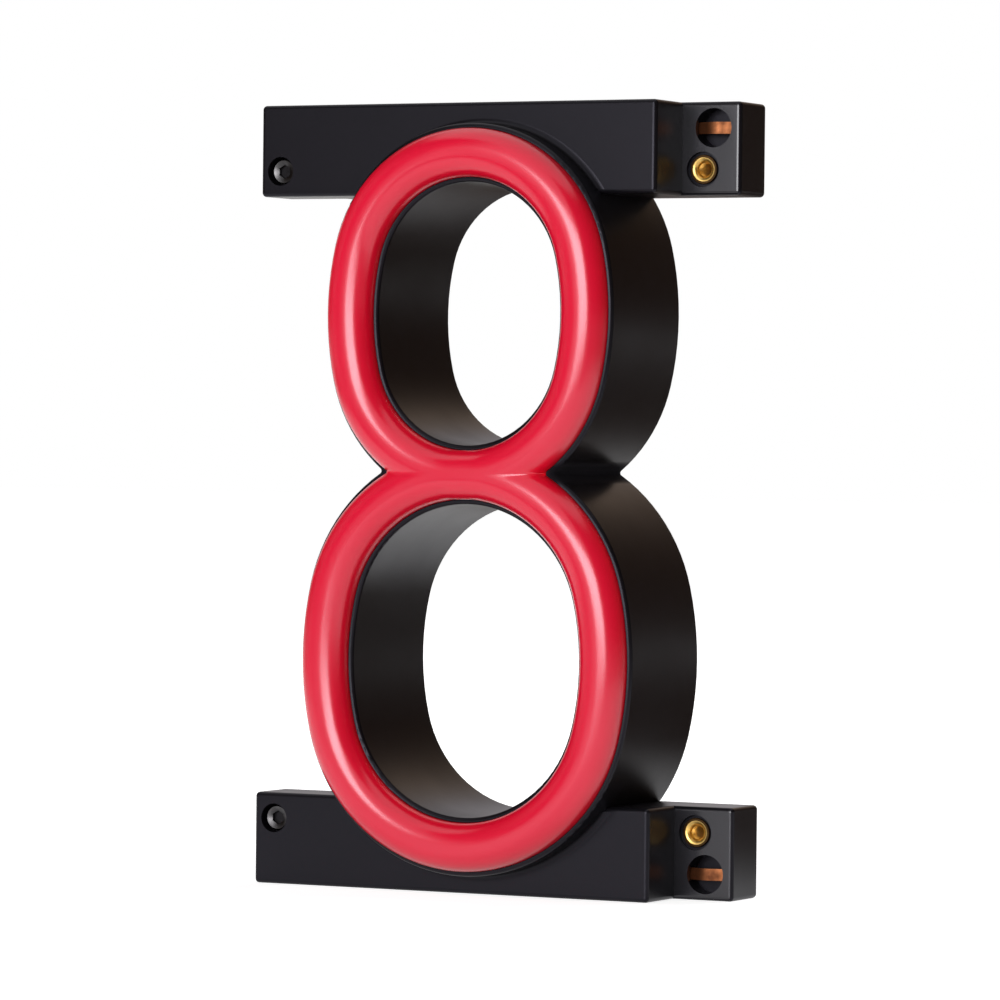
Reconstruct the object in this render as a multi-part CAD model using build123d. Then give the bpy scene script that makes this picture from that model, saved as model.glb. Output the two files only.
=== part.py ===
from build123d import *
import os
from math import atan2, degrees

# A lit figure 8 that joins to its neighbours in a row. X runs along the row, Y from the lit front
# to the back and Z up. The origin is under the middle of the figure. Sizes are in millimetres.

# Rails: the front half of each is shifted left and the rear half right, so that neighbours lap.
overall_height = 162.0
module_pitch = 91.0
lap_length = 13.0
front_lap_depth = 12.5
rear_lap_depth = 12.5
rail_height = 19.0
rail_wall = 2.2
rail_edge_radius = 0.9

# Figure: two ovals that share one line at the waist, measured on the middle of the lit line.
stroke_width = 10.0
upper_half_width = 26.75
lower_half_width = 31.8
upper_margin = 10.6
lower_margin = 10.0
waist_height = 85.8
side_flatness = 0.8
notch_radius = 0.6

# Channel that carries the lit line, and the floor inside it with a round window for each chip.
channel_wall = 0.9
channel_stand_out = 6.3
channel_lip_radius = 0.85
channel_root_radius = 1.4
floor_thickness = 2.0
chip_window_radius = 2.8

# Diffuser: a hollow moulding with a round crown.
diffuser_clearance = 0.1
diffuser_sunk = 8.0
dome_rise = 4.6
crown_flat = 0.8
diffuser_wall = 1.6
diffuser_crown_wall = 2.2
hollow_radius = 2.8

# Lamp board with its chips in front and its resistors behind.
board_thickness = 1.6
board_clearance = 0.2
chip_length = 3.5
chip_width = 2.8
chip_height = 0.7
chip_pitch = 12.0
resistor_length = 3.2
resistor_width = 1.6
resistor_height = 0.6

# Back cover with the posts that hold the board, and its countersunk screws.
cover_thickness = 2.0
cover_clearance = 0.15
post_radius = 1.6
post_pitch = 36.0
boss_radius = 3.0
boss_from_step = 7.5
boss_from_inner_edge = 6.0
cover_screw_radius = 1.2
cover_screw_length = 9.0
cover_screw_head_radius = 2.4
cover_screw_head_height = 1.3
cover_screw_slot_width = 0.7
cover_screw_slot_depth = 0.6
cover_screw_clearance = 0.05

# Joining screw in the left tab of each rail, kept there by a washer pushed on behind.
screw_from_step = 4.6
screw_from_inner_edge = 5.3
counterbore_radius = 3.0
counterbore_depth = 4.0
screw_radius = 1.5
screw_shoulder_radius = 2.0
screw_neck_radius = 1.15
screw_running_clearance = 0.05
screw_head_radius = 2.7
screw_head_height = 2.5
screw_socket_across_flats = 2.5
screw_socket_depth = 1.3
screw_end_clearance = 0.1
screw_stand_out = 5.0
screw_end_chamfer = 0.4
washer_radius = 2.6
washer_thickness = 0.6
washer_recess_radius = 3.0
washer_recess_depth = 1.0
washer_grip_clearance = 0.02

# Threaded insert in the right tongue of each rail, in line with a neighbour's screw.
insert_recess_radius = 3.6
insert_recess_depth = 1.0
insert_flange_radius = 3.0
insert_flange_thickness = 0.6
insert_body_radius = 2.3
insert_length = 6.6
insert_bore_radius = 1.5
insert_mouth_chamfer = 0.6
insert_groove_depth = 0.4
insert_groove_width = 1.2
insert_seat_clearance = 0.02
insert_end_room = 0.5

# Power: a bar along each rail, a stud behind the left tab and a sprung leaf in the right tongue.
contact_from_step = 6.9
contact_from_outer_edge = 5.3
bar_height = 4.0
bar_thickness = 0.6
bar_seat_depth = 10.0
bar_clearance = 0.2
stud_radius = 1.2
stud_head_radius = 2.0
stud_head_height = 0.8
stud_edge_height = 0.3
stud_clearance = 0.03
leaf_height = 2.4
leaf_thickness = 0.5
leaf_root_length = 4.0
leaf_root_gap = 0.1
leaf_root_from_step = 10.0
leaf_joggle_length = 3.0
leaf_sunk = 1.4
leaf_bow_below_face = 0.1
leaf_bend_radius = 1.0
leaf_bow_radius = 5.0
leaf_tip_length = 0.8
leaf_window_radius = 4.0
leaf_window_depth = 4.5
leaf_slot_clearance = 0.3
leaf_press = 1.4
pin_radius = 0.6

# Places that follow from the sizes above.
right_x = (module_pitch + lap_length) / 2
left_x = -right_x
step_x = right_x - lap_length
back_y = (dome_rise + channel_stand_out + front_lap_depth + rear_lap_depth) / 2
lap_y = back_y - rear_lap_depth
rail_front_y = lap_y - front_lap_depth
lip_y = rail_front_y - channel_stand_out
apex_y = lip_y - dome_rise
diffuser_seat_y = lip_y + diffuser_sunk
board_front_y = diffuser_seat_y + floor_thickness
board_back_y = board_front_y + board_thickness
bar_front_y = rail_front_y + bar_seat_depth
bar_back_y = bar_front_y + bar_thickness
cover_front_y = back_y - cover_thickness
channel_inner_half = stroke_width / 2 + diffuser_clearance
channel_half = channel_inner_half + channel_wall
board_half = channel_inner_half - board_clearance
upper_top = overall_height - upper_margin
upper_half_height = (upper_top - waist_height) / 2
upper_middle = (upper_top + waist_height) / 2
lower_half_height = (waist_height - lower_margin) / 2
lower_middle = (waist_height + lower_margin) / 2
screw_x = left_x + screw_from_step
insert_x = step_x + screw_from_step
contact_x = step_x + contact_from_step
stud_x = contact_x - module_pitch
leaf_root_x = step_x - leaf_root_from_step
leaf_tip_x = contact_x + leaf_window_radius + leaf_tip_length
window_half_width = step_x - rail_wall

# Each rail as the height of its outer face and the way in from there towards the figure.
rails = {"top": (overall_height, -1), "bottom": (0.0, 1)}


def height_in_rail(rail, from_outer_edge):
    """Height of a point in a rail, given as a distance in from the rail's outer face."""
    outer_face, inward = rails[rail]
    return outer_face + inward * from_outer_edge


def contact_z(rail):
    return height_in_rail(rail, contact_from_outer_edge)


def screw_z(rail):
    return height_in_rail(rail, rail_height - screw_from_inner_edge)


def boss_z(rail):
    return height_in_rail(rail, rail_height - boss_from_inner_edge)


def pin_z(rail):
    """Middle of the strip where the lamp board's edge lies in front of the bar."""
    board_edge = {"top": upper_top + board_half, "bottom": lower_margin - board_half}[rail]
    bar_edge = height_in_rail(rail, contact_from_outer_edge + bar_height / 2)
    return (board_edge + bar_edge) / 2


def slab(sketch, y_front, y_back):
    """A sketch drawn in X and Z, as a solid between two depths."""
    return extrude(Plane.XZ.offset(-y_back) * sketch, y_back - y_front)


def turned(x, z, profile):
    """A solid turned about a line along Y through (x, z), from its (radius, y) outline."""
    return Pos(x, 0, z) * revolve(make_face(Polyline(*profile, close=True)), Axis.Y)


def bored(x, z, radius, y_front, y_back):
    """A round hole or rod along Y between two depths."""
    return slab(Pos(x, z) * Circle(radius), y_front, y_back)


def oval_line(half_width, half_height):
    """Four tangent arcs: two round ends, and two long sides that are a little flatter."""
    narrow, long = sorted((half_width, half_height))
    end_radius = narrow - side_flatness
    rise = long - end_radius
    side_radius = narrow + rise**2 / (2 * side_flatness) - side_flatness / 2
    reach = side_radius / (side_radius - end_radius)
    join_x = (narrow - side_radius) * (1 - reach)
    join_z = rise * reach
    upright = Wire([
        ThreePointArc((join_x, join_z), (0, long), (-join_x, join_z)),
        ThreePointArc((-join_x, join_z), (-narrow, 0), (-join_x, -join_z)),
        ThreePointArc((-join_x, -join_z), (0, -long), (join_x, -join_z)),
        ThreePointArc((join_x, -join_z), (narrow, 0), (join_x, join_z)),
    ])
    return Rot(0, 0, 90) * upright if half_width > half_height else upright


def loops(grow):
    """The outlines of both loops, moved out from the middle of the lit line by a distance."""
    upper = Pos(0, upper_middle) * oval_line(upper_half_width + grow, upper_half_height + grow)
    lower = Pos(0, lower_middle) * oval_line(lower_half_width + grow, lower_half_height + grow)
    return upper, lower


def figure(half):
    """The figure's outer outline at a distance from the line's middle.

    The outline of a wider line is brought in again, which rounds the notches at the waist.
    """
    upper, lower = loops(half + notch_radius)
    return offset(make_face(upper) + make_face(lower), -notch_radius, kind=Kind.ARC)


def counters(half):
    """The two openings of the figure, as far inside the line's middle as the outline is outside."""
    upper, lower = loops(-half)
    return make_face(upper) + make_face(lower)


def stroke(half):
    return figure(half) - counters(half)


def back_opening(inset):
    """The open back: the inside of the channel joined to a window in each rail."""
    opening = figure(channel_inner_half - inset)
    window_height = rail_height - 2 * rail_wall
    for rail in rails:
        middle = height_in_rail(rail, rail_height / 2)
        window = Rectangle(2 * (window_half_width - inset), window_height - 2 * inset)
        opening += Pos(0, middle) * window
    return opening - counters(channel_inner_half - inset)


def rail_block(rail):
    """One rail: its stepped plan raised to the rail's height, with every outer edge rounded."""
    plan = make_face(Polyline(
        (left_x, rail_front_y), (step_x, rail_front_y), (step_x, lap_y), (right_x, lap_y),
        (right_x, back_y), (-step_x, back_y), (-step_x, lap_y), (left_x, lap_y), close=True))
    outer_corners = plan.vertices().sort_by_distance((0, lap_y))[2:]
    block = extrude(fillet(outer_corners, rail_edge_radius), rail_height)
    rims = block.edges().filter_by(Plane.XY)
    low_z = min(height_in_rail(rail, 0), height_in_rail(rail, rail_height))
    return Pos(0, 0, low_z) * fillet(rims, rail_edge_radius)


def channel_root():
    """The small moulded round where the channel rises from the front face of each rail."""
    plate = Pos(0, overall_height / 2) * Rectangle(2 * overall_height, 2 * overall_height)
    raised = slab(plate, rail_front_y, lap_y) + slab(figure(channel_half), lip_y, rail_front_y)
    foot = raised.edges().filter_by(GeomType.CIRCLE).group_by(Axis.Y)[-1]
    raised = fillet(foot, channel_root_radius)
    fronts = Sketch()
    for rail in rails:
        front = Rectangle(step_x - left_x - 2 * rail_edge_radius, rail_height - 2 * rail_edge_radius)
        fronts += Pos((step_x + left_x) / 2, height_in_rail(rail, rail_height / 2)) * front
    return raised & slab(fronts, rail_front_y - channel_stand_out / 2, rail_front_y)


def leaf_slot(rail):
    """Room for the leaf to swing, from the rail's window to a pocket past the round window."""
    front = lap_y + leaf_sunk - leaf_slot_clearance
    back = lap_y + leaf_sunk + leaf_thickness + leaf_press + leaf_slot_clearance
    start = window_half_width - rail_edge_radius
    end = leaf_tip_x + leaf_slot_clearance
    middle = Pos((start + end) / 2, contact_z(rail))
    return slab(middle * Rectangle(end - start, leaf_height + 2 * leaf_slot_clearance), front, back)


def rail_openings(rail):
    """Everything cut into one rail: screw seat, insert seat, bar slot, stud hole and leaf window."""
    floor_y = rail_front_y + counterbore_depth
    recess_y = lap_y + insert_recess_depth
    insert_end_y = recess_y - insert_flange_thickness + insert_length + insert_end_room
    bar_end_x = stud_x - bar_height / 2 - bar_clearance
    slot_end_x = rail_edge_radius - window_half_width
    bar_slot = Rectangle(slot_end_x - bar_end_x, bar_height + 2 * bar_clearance)
    bar_slot = Pos((slot_end_x + bar_end_x) / 2, contact_z(rail)) * bar_slot
    return [
        bored(screw_x, screw_z(rail), counterbore_radius, rail_front_y, floor_y),
        bored(screw_x, screw_z(rail), screw_shoulder_radius + screw_running_clearance, floor_y, lap_y),
        bored(screw_x, screw_z(rail), washer_recess_radius, lap_y - washer_recess_depth, lap_y),
        bored(insert_x, screw_z(rail), insert_recess_radius, lap_y, recess_y),
        bored(insert_x, screw_z(rail), insert_body_radius + insert_seat_clearance, recess_y, insert_end_y),
        slab(bar_slot, bar_front_y, bar_back_y + bar_clearance),
        bored(stud_x, contact_z(rail), stud_radius + stud_clearance, bar_back_y, lap_y),
        bored(contact_x, contact_z(rail), leaf_window_radius, lap_y, lap_y + leaf_window_depth),
        leaf_slot(rail),
    ]


def boss_places():
    """Plan places of the cover's screws, two in each rail."""
    boss_x = step_x - boss_from_step
    return [(side * boss_x, boss_z(rail)) for rail in rails for side in (-1, 1)]


def housing():
    """One black moulding: both rails and the walls of the figure, open at the front and the back."""
    channel = slab(figure(channel_half) - counters(channel_half), lip_y, back_y)
    channel = fillet(channel.faces().sort_by(Axis.Y)[0].edges(), channel_lip_radius)
    body = channel + rail_block("top") + rail_block("bottom") + channel_root()
    body -= slab(counters(channel_half), rail_front_y - channel_stand_out / 2, back_y)
    body -= slab(stroke(channel_inner_half), lip_y, diffuser_seat_y)
    for point, _ in chip_places():
        body -= bored(point.X, point.Y, chip_window_radius, diffuser_seat_y, board_front_y)
    body -= slab(stroke(channel_inner_half), board_front_y, bar_front_y)
    body -= slab(back_opening(0), bar_front_y, back_y)
    for x, z in boss_places():
        boss = bored(x, z, boss_radius, bar_front_y, cover_front_y)
        pilot_front = cover_front_y + cover_thickness - cover_screw_length - cover_screw_radius
        pilot = bored(x, z, cover_screw_radius + cover_screw_clearance, pilot_front, cover_front_y)
        body += boss - pilot
    for rail in rails:
        body -= rail_openings(rail)
    return body


def diffuser():
    """The red moulding: a hollow channel with a round crown that stands on the floor inside."""
    half = stroke_width / 2
    body = slab(stroke(half), apex_y, diffuser_seat_y)
    body = fillet(body.faces().sort_by(Axis.Y)[0].edges(), half - crown_flat / 2)
    hollow = slab(stroke(half - diffuser_wall), apex_y + diffuser_crown_wall, diffuser_seat_y)
    hollow = fillet(hollow.faces().sort_by(Axis.Y)[0].edges(), hollow_radius)
    return body - hollow


def lamp_board():
    return slab(stroke(board_half), board_front_y, board_back_y)


def stations(pitch, upper_start, lower_start):
    """Places along both loops' middle lines, with the line's direction there.

    Each loop's places are even, about a pitch apart, and the first and the last are the given
    part of a pitch from the waist.
    """
    found = []
    for loop, start in zip(loops(0), (upper_start, lower_start)):
        count = round(loop.length / pitch)
        waist = loop.param_at_point(Vector(0, waist_height))
        for index in range(round(count - 2 * start) + 1):
            place = (waist + (start + index) / count) % 1
            found.append((loop @ place, loop % place))
    return found


def chip_places():
    return stations(chip_pitch, 0.5, 1)


def on_board(places, length, width, y_front, y_back):
    """Small rectangular parts laid on the board along the lit line."""
    made = []
    for point, along in places:
        turn = degrees(atan2(along.Y, along.X))
        outline = Pos(point.X, point.Y) * Rot(0, 0, turn) * Rectangle(length, width)
        made.append(slab(outline, y_front, y_back))
    return Compound(children=made)


def lamp_chips():
    return on_board(chip_places(), chip_length, chip_width, board_front_y - chip_height, board_front_y)


def resistors():
    """One between every two of the cover's posts."""
    places = stations(post_pitch, 1, 1)
    return on_board(places, resistor_length, resistor_width, board_back_y, board_back_y + resistor_height)


def cover_screw_profile(clearance):
    """Outline of a countersunk screw, flush with the back, or of its hole."""
    head = cover_screw_head_radius + clearance
    shank = cover_screw_radius + clearance
    neck_y = back_y - cover_screw_head_height
    return [(0, back_y), (head, back_y), (shank, neck_y), (shank, back_y - cover_screw_length),
            (0, back_y - cover_screw_length)]


def back_cover():
    """The plate that closes the back, with posts that press the lamp board to the floor."""
    plate = slab(back_opening(cover_clearance), cover_front_y, back_y)
    for point, _ in stations(post_pitch, 0.5, 0.5):
        plate += bored(point.X, point.Y, post_radius, board_back_y, cover_front_y)
    for x, z in boss_places():
        plate -= turned(x, z, cover_screw_profile(cover_screw_clearance))
    return plate


def cover_screws():
    made = []
    for x, z in boss_places():
        slot = Pos(x, z) * Rectangle(2 * cover_screw_head_radius, cover_screw_slot_width)
        screw = turned(x, z, cover_screw_profile(0))
        made.append(screw - slab(slot, back_y - cover_screw_slot_depth, back_y))
    return Compound(children=made)


def joining_screw(rail):
    """A socket-head shoulder screw in the left tab, its threaded end standing out behind a neck."""
    under_head_y = rail_front_y + counterbore_depth - screw_end_clearance
    top_y = under_head_y - screw_head_height
    neck_y = lap_y - washer_recess_depth
    end_y = lap_y + screw_stand_out
    screw = turned(screw_x, screw_z(rail), [
        (0, top_y), (screw_head_radius - screw_end_chamfer, top_y),
        (screw_head_radius, top_y + screw_end_chamfer), (screw_head_radius, under_head_y),
        (screw_shoulder_radius, under_head_y), (screw_shoulder_radius, neck_y),
        (screw_neck_radius, neck_y), (screw_neck_radius, lap_y),
        (screw_radius, lap_y), (screw_radius, end_y - screw_end_chamfer),
        (screw_radius - screw_end_chamfer, end_y), (0, end_y)])
    socket = RegularPolygon(screw_socket_across_flats / 2, 6, major_radius=False)
    return screw - slab(Pos(screw_x, screw_z(rail)) * socket, top_y, top_y + screw_socket_depth)


def retaining_washer(rail):
    """A ring on the screw's neck that keeps it in its tab, below the face that laps the neighbour."""
    back = lap_y - (washer_recess_depth - washer_thickness) / 2
    ring = Circle(washer_radius) - Circle(screw_neck_radius + washer_grip_clearance)
    return slab(Pos(screw_x, screw_z(rail)) * ring, back - washer_thickness, back)


def threaded_insert(rail):
    """A flanged brass bush, pressed into the tongue, with a groove that keys it in the plastic."""
    flange_back_y = lap_y + insert_recess_depth
    face_y = flange_back_y - insert_flange_thickness
    end_y = face_y + insert_length
    groove_y = (flange_back_y + end_y - insert_groove_width) / 2
    groove_radius = insert_body_radius - insert_groove_depth
    return turned(insert_x, screw_z(rail), [
        (insert_bore_radius + insert_mouth_chamfer, face_y), (insert_flange_radius, face_y),
        (insert_flange_radius, flange_back_y), (insert_body_radius, flange_back_y),
        (insert_body_radius, groove_y), (groove_radius, groove_y),
        (groove_radius, groove_y + insert_groove_width), (insert_body_radius, groove_y + insert_groove_width),
        (insert_body_radius, end_y), (insert_bore_radius, end_y),
        (insert_bore_radius, face_y + insert_mouth_chamfer)])


def contact_bar(rail):
    """A flat bar with round ends that carries one pole along the rail, from the stud to the leaf."""
    start_x = stud_x - bar_height / 2
    end_x = leaf_root_x + leaf_root_length
    strip = Pos((start_x + end_x) / 2, contact_z(rail)) * SlotOverall(end_x - start_x, bar_height)
    strip -= Pos(stud_x, contact_z(rail)) * Circle(stud_radius + stud_clearance)
    return slab(strip, bar_front_y, bar_back_y)


def contact_stud(rail):
    """A rivet through the left tab whose round head meets the neighbour's leaf."""
    edge_y = lap_y + stud_edge_height
    crown_y = lap_y + stud_head_height
    side = Polyline((0, crown_y), (0, bar_front_y), (stud_radius, bar_front_y), (stud_radius, lap_y),
                    (stud_head_radius, lap_y), (stud_head_radius, edge_y))
    crown = TangentArc((0, crown_y), (stud_head_radius, edge_y), tangent=(1, 0))
    return Pos(stud_x, 0, contact_z(rail)) * revolve(make_face([*side.edges(), crown]), Axis.Y)


def contact_leaf(rail):
    """A sprung copper strip, fixed to the bar at its root and bowed where it crosses the window."""
    root_y = bar_back_y + leaf_root_gap + leaf_thickness / 2
    run_y = lap_y + leaf_sunk + leaf_thickness / 2
    bow_y = lap_y + leaf_bow_below_face + leaf_thickness / 2
    bend_x = leaf_root_x + leaf_root_length
    line = FilletPolyline(
        (leaf_root_x, root_y), (bend_x, root_y), (bend_x + leaf_joggle_length, run_y),
        (contact_x - leaf_window_radius, run_y), (contact_x, bow_y),
        (contact_x + leaf_window_radius, run_y), (leaf_tip_x, run_y),
        radius=[leaf_bend_radius, leaf_bend_radius, leaf_bend_radius, leaf_bow_radius, leaf_bend_radius])
    section = Plane((leaf_root_x, root_y, 0), x_dir=(0, 1, 0), z_dir=(1, 0, 0))
    strip = sweep(section * Rectangle(leaf_thickness, leaf_height), line)
    return Pos(0, 0, contact_z(rail)) * strip


def feed_pin(rail):
    """A soldered pin that joins the bar to the lamp board in front of it."""
    return bored(0, pin_z(rail), pin_radius, board_back_y, bar_front_y)


nodes = {
    "housing": housing(),
    "diffuser": diffuser(),
    "lamp_board": lamp_board(),
    "lamp_chips": lamp_chips(),
    "resistors": resistors(),
    "back_cover": back_cover(),
    "cover_screws": cover_screws(),
}
rail_pieces = (
    joining_screw, retaining_washer, threaded_insert, contact_bar, contact_stud, contact_leaf, feed_pin)
for rail in rails:
    for piece in rail_pieces:
        nodes[f"{rail}_{piece.__name__}"] = piece(rail)

os.makedirs("parts", exist_ok=True)
for name, shape in nodes.items():
    export_step(shape, f"parts/{name}.step")
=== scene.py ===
import math

import bmesh
import bpy
import numpy as np
from mathutils import Matrix, Vector


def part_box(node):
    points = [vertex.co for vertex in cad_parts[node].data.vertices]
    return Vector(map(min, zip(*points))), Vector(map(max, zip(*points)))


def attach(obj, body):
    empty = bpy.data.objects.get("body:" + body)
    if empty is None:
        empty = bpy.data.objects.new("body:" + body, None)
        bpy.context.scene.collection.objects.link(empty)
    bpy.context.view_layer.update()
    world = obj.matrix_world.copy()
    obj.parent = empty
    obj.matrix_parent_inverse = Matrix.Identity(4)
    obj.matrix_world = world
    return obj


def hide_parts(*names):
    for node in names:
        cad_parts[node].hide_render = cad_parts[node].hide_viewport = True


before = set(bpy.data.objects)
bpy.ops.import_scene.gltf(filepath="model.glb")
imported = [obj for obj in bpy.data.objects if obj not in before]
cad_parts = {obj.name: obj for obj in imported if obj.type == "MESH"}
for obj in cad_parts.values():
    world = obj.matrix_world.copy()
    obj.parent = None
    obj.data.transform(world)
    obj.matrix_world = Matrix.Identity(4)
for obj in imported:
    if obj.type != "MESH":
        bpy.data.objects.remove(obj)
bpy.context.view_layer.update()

# Housing: one black moulding with two stepped rails and the deep walls of the figure between them.
# It is injection-moulded in satin black plastic with a fine eroded grain. The faces that lap a
# neighbour are moulded smooth. Everything else is fixed into it, so it comes first.
mm = 0.001
plastic_dark = (0.0034, 0.0031, 0.0042, 1.0)
plastic_worn = (0.0066, 0.0061, 0.0079, 1.0)
plastic_gloss = 0.22
plastic_cool = (0.86, 0.83, 1.0, 1.0)
handled_polish = 0.04
patch_contrast = (0.3, 0.7)
housing_roughness = 0.33
housing_grain = 2200.0
housing_patches = 45.0
housing_crease = 35.0
fine_grain_ratio = 3.0
grain_depth = 0.015 * mm
grain_strength = 0.2
insert_recess = 0.4 * mm
lap_roughness = 0.30
lap_shine = 1.0
lap_shine_roughness = 0.16
lap_face_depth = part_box("top_threaded_insert")[0].y - insert_recess
lap_face_band = 0.1 * mm
lap_face_straightness = 0.9
notch_place = (20.4 * mm, 86.4 * mm)
notch_dust_reach = (1.2 * mm, 3.0 * mm)
dust_roughness = 0.95
joined_within = 0.001 * mm


def put(tree, kind, inputs=(), **settings):
    """Adds a node with its settings. An input given as another node's socket is linked to it."""
    node = tree.nodes.new(kind)
    for name, value in settings.items():
        setattr(node, name, value)
    for name, value in dict(inputs).items():
        if isinstance(value, bpy.types.NodeSocket):
            tree.links.new(value, node.inputs[name])
        else:
            node.inputs[name].default_value = value
    return node


def calculate(tree, operation, *values):
    """One step of arithmetic on numbers or sockets."""
    return put(tree, "ShaderNodeMath", dict(enumerate(values)), operation=operation).outputs[0]


def spread(tree, share, low, high, start=0.0, end=1.0):
    """A number between low and high, as a share goes from start to end."""
    return put(tree, "ShaderNodeMapRange", {
        "Value": share, "From Min": start, "From Max": end,
        "To Min": low, "To Max": high}).outputs["Result"]


def noise(tree, place, scale, detail):
    """A soft noise from 0 to 1 over a place, with a number of finer layers."""
    return put(tree, "ShaderNodeTexNoise", {
        "Vector": place, "Scale": scale, "Detail": detail}).outputs["Fac"]


def new_effect(name, inputs, outputs):
    """A node group with number inputs (name: value) and number outputs, and its ends' sockets."""
    tree = bpy.data.node_groups.new(name, "ShaderNodeTree")
    for label, value in inputs.items():
        socket = tree.interface.new_socket(label, in_out="INPUT", socket_type="NodeSocketFloat")
        socket.default_value = value
    for label in outputs:
        tree.interface.new_socket(label, in_out="OUTPUT", socket_type="NodeSocketFloat")
    return tree, put(tree, "NodeGroupInput").outputs, put(tree, "NodeGroupOutput").inputs


def moulded_grain():
    """Fine eroded grain, and broad patches where handling has polished it.

    The grain is the sum of two noises, the second three times finer. The patches are a coarse
    noise stretched to run from 0 to 1.
    """
    tree, given, made = new_effect(
        "moulded_grain", {"Grain Scale": housing_grain, "Patch Scale": housing_patches},
        ("Grain", "Patch"))
    place = put(tree, "ShaderNodeTexCoord").outputs["Object"]
    coarse = noise(tree, place, given["Grain Scale"], 3.0)
    finer = calculate(tree, "MULTIPLY", given["Grain Scale"], fine_grain_ratio)
    fine = noise(tree, place, finer, 1.0)
    patch = noise(tree, place, given["Patch Scale"], 4.0)
    tree.links.new(calculate(tree, "ADD", coarse, fine), made["Grain"])
    tree.links.new(spread(tree, patch, 0.0, 1.0, *patch_contrast), made["Patch"])
    return tree


def new_finish(name):
    """A material with its node tree and its Principled shader."""
    material = bpy.data.materials.new(name)
    material.use_nodes = True
    return material, material.node_tree, material.node_tree.nodes["Principled BSDF"]


def blend(tree, share, first, second):
    """A colour between two, by a share from 0 to 1."""
    mix = put(tree, "ShaderNodeMix", {"Factor": share, 6: first, 7: second}, data_type="RGBA")
    return mix.outputs[2]


def roughen(tree, shader, height, depth, strength):
    """Bump from a height, where 1 is the given depth in metres."""
    bump = put(tree, "ShaderNodeBump", {"Height": height, "Distance": depth, "Strength": strength})
    tree.links.new(bump.outputs["Normal"], shader.inputs["Normal"])


def put_group(tree, group, inputs):
    """Puts a node group into a material with its own values."""
    node = put(tree, "ShaderNodeGroup", node_tree=group)
    for name, value in inputs.items():
        node.inputs[name].default_value = value
    return node


def lap_faces(tree):
    """1 on the flat faces at the depth where neighbours lap, and 0 elsewhere."""
    surface = put(tree, "ShaderNodeTexCoord").outputs
    depth = put(tree, "ShaderNodeSeparateXYZ", {0: surface["Object"]}).outputs["Y"]
    facing = put(tree, "ShaderNodeSeparateXYZ", {0: surface["Normal"]}).outputs["Y"]
    away = calculate(tree, "ABSOLUTE", calculate(tree, "SUBTRACT", depth, lap_face_depth))
    near = calculate(tree, "LESS_THAN", away, lap_face_band)
    straight = calculate(tree, "ABSOLUTE", facing)
    flat = calculate(tree, "GREATER_THAN", straight, lap_face_straightness)
    return calculate(tree, "MULTIPLY", near, flat)


def notch_dust(tree):
    """1 deep in the two outer notches, where dust gathers, and 0 beyond a short reach from them."""
    surface = put(tree, "ShaderNodeTexCoord").outputs["Object"]
    place = put(tree, "ShaderNodeSeparateXYZ", {0: surface}).outputs
    across = calculate(tree, "SUBTRACT", calculate(tree, "ABSOLUTE", place["X"]), notch_place[0])
    upward = calculate(tree, "SUBTRACT", place["Z"], notch_place[1])
    flat = put(tree, "ShaderNodeCombineXYZ", {"X": across, "Z": upward}).outputs["Vector"]
    away = put(tree, "ShaderNodeVectorMath", {0: flat}, operation="LENGTH").outputs["Value"]
    return spread(tree, away, 1.0, 0.0, *notch_dust_reach)


grain_effect = moulded_grain()


def moulded_black(name, dark, worn, roughness, gloss, grain_scale):
    """Black plastic with a cool gloss, greyer and smoother where handling has polished it."""
    material, tree, shader = new_finish(name)
    grain = put_group(tree, grain_effect, {"Grain Scale": grain_scale}).outputs
    tree.links.new(blend(tree, grain["Patch"], dark, worn), shader.inputs["Base Color"])
    rough = spread(tree, grain["Patch"], roughness + handled_polish, roughness - handled_polish)
    tree.links.new(rough, shader.inputs["Roughness"])
    roughen(tree, shader, grain["Grain"], grain_depth, grain_strength)
    shader.inputs["Specular IOR Level"].default_value = gloss
    shader.inputs["Specular Tint"].default_value = plastic_cool
    return material, tree, shader, rough


def housing_black():
    """The same plastic with a smooth skin on the lap faces and dull dust deep in the notches."""
    material, tree, shader, rough = moulded_black(
        "housing_black", plastic_dark, plastic_worn, housing_roughness, plastic_gloss,
        housing_grain)
    lap = lap_faces(tree)
    rough = spread(tree, notch_dust(tree), rough, dust_roughness)
    tree.links.new(spread(tree, lap, rough, lap_roughness), shader.inputs["Roughness"])
    tree.links.new(spread(tree, lap, 0.0, lap_shine), shader.inputs["Coat Weight"])
    shader.inputs["Coat Roughness"].default_value = lap_shine_roughness
    return material


def housing_moulding():
    """A copy of the drawn housing with its facets joined, so that gloss runs on from arc to arc.

    The normal at a corner is the mean over the faces that meet there with no sharp edge between
    them, each weighted by its area and its angle there, so flat faces stay flat.
    """
    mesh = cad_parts["housing"].data.copy()
    mesh.name = "housing_moulding"
    if mesh.has_custom_normals:
        mesh.attributes.remove(mesh.attributes["custom_normal"])
    shell = bmesh.new()
    shell.from_mesh(mesh)
    bmesh.ops.remove_doubles(shell, verts=shell.verts, dist=joined_within)
    shell.to_mesh(mesh)
    shell.free()
    mesh.shade_smooth()
    mesh.set_sharp_from_angle(angle=math.radians(housing_crease))
    mesh.materials.clear()
    mesh.materials.append(housing_black())
    piece = bpy.data.objects.new("housing_moulding", mesh)
    bpy.context.scene.collection.objects.link(piece)
    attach(piece, "module")
    evened = piece.modifiers.new("evened", "WEIGHTED_NORMAL")
    evened.mode = "FACE_AREA_WITH_ANGLE"
    evened.keep_sharp = True
    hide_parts("housing")


housing_moulding()

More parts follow.
